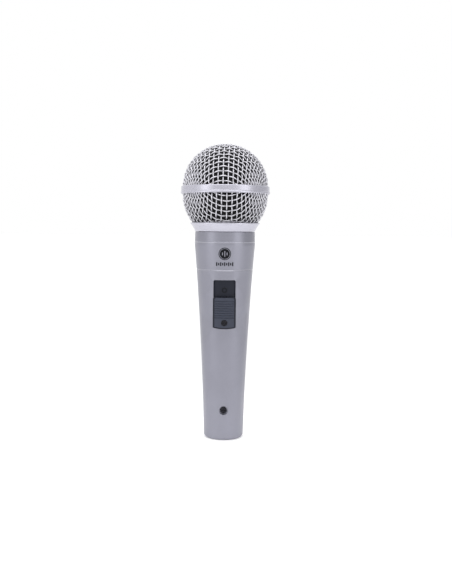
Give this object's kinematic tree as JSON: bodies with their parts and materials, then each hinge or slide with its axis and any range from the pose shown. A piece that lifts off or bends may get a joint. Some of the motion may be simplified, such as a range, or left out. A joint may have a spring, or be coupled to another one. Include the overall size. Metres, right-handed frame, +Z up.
{
  "type": "dynamic microphone",
  "caption": "Handheld dynamic vocal microphone: woven wire ball grille over a tapered silver handle with a slide switch and a recessed three-contact connector.",
  "frame": {"origin": "centre of the flat foot rim around the connector socket, which the microphone stands on", "axes": "+Z up the microphone's axis from connector to ball grille; -Y is the front with the slide switch; +X to the right seen from the front"},
  "size_m": [0.051, 0.051, 0.1669],
  "materials": {
    "silver_paint": "satin metallic paint over die-cast alloy, two bright turned lines",
    "bright_paint": "smooth satin silver-white paint",
    "grille_wire": "silver-lacquered woven steel wire",
    "pop_foam": "open-cell black foam",
    "black_plastic": "fine moulded texture",
    "slider_plastic": "satin moulded, ribbed",
    "black_screw": "blackened steel",
    "zinc_steel": "zinc plated",
    "soft_iron": "machined soft iron",
    "magnet_nickel": "nickel plated magnet",
    "copper_wire": "enamelled copper",
    "film": "clear polyester film",
    "felt": "pressed wool felt",
    "capsule_plastic": "moulded",
    "rubber": "soft matt",
    "board": "phenolic board",
    "insert_plastic": "glass-filled nylon",
    "contact_plating": "silver plated brass",
    "spring_bronze": "phosphor bronze",
    "lead_red": "PVC sleeve",
    "lead_black": "PVC sleeve",
    "lead_yellow": "PVC sleeve"
  },
  "bodies": {
    "handle_group": {"handle": "silver_paint", "switch_bezel": "black_plastic", "switch_can": "zinc_steel", "switch_wafer": "board", "switch_board": "board", "board_screws": "zinc_steel", "xlr_insert": "insert_plastic", "xlr_pin_1": "contact_plating", "xlr_pin_2": "contact_plating", "xlr_pin_3": "contact_plating", "ground_spring": "spring_bronze", "insert_screw": "black_screw", "shock_mount": "rubber", "capsule_lead_1": "lead_red", "capsule_lead_2": "lead_black", "xlr_lead_1": "lead_black", "xlr_lead_2": "lead_red", "xlr_lead_3": "lead_yellow"},
    "slider_group": {"slider_cap": "slider_plastic", "slider_carriage": "black_plastic", "slider_screw": "black_screw", "switch_lever": "black_plastic", "switch_contact": "spring_bronze"},
    "capsule_group": {"capsule_housing": "capsule_plastic", "resonator_cap": "capsule_plastic", "front_screen": "felt", "rear_felt": "felt", "yoke": "soft_iron", "magnet": "magnet_nickel", "pole_piece": "soft_iron", "front_plate": "soft_iron", "clamp_ring": "capsule_plastic", "diaphragm_surround": "film", "rear_chamber": "capsule_plastic", "terminal_board": "board", "terminal_tags": "contact_plating"},
    "diaphragm_group": {"diaphragm_dome": "film", "voice_coil": "copper_wire"},
    "foam_group": {"foam_liner": "pop_foam"},
    "grille_group": {"grille_mesh_upper": "grille_wire", "grille_mesh_lower": "grille_wire", "grille_band": "bright_paint", "grille_collar": "bright_paint"}
  },
  "joints": [
    {"name": "switch_slide", "type": "slide", "parent": "handle_group", "child": "slider_group", "axis": [0, -0.068, 0.9977], "range_m": [0, 0.007]},
    {"name": "grille_lift", "type": "slide", "parent": "handle_group", "child": "foam_group", "axis": [0, 0, 1], "range_m": [0, 0.006]},
    {"name": "grille_turn", "type": "hinge", "parent": "foam_group", "child": "grille_group", "pos_m": [0, 0, 0.1195], "axis": [0, 0, 1], "range_deg": [0, 1440]},
    {"name": "capsule_float", "type": "slide", "parent": "handle_group", "child": "capsule_group", "axis": [0, 0, 1], "range_m": [-0.0006, 0.0006], "stiffness_N_per_m": 7000, "deforming": ["shock_mount", "capsule_lead_1", "capsule_lead_2"]},
    {"name": "diaphragm_travel", "type": "slide", "parent": "capsule_group", "child": "diaphragm_group", "axis": [0, 0, 1], "range_m": [-0.0003, 0.0003], "stiffness_N_per_m": 300, "deforming": ["diaphragm_surround"]}
  ],
  "couplings": [
    {"joint": "grille_lift", "follows": "grille_turn", "m_per_rad": 0.0002387}
  ]
}
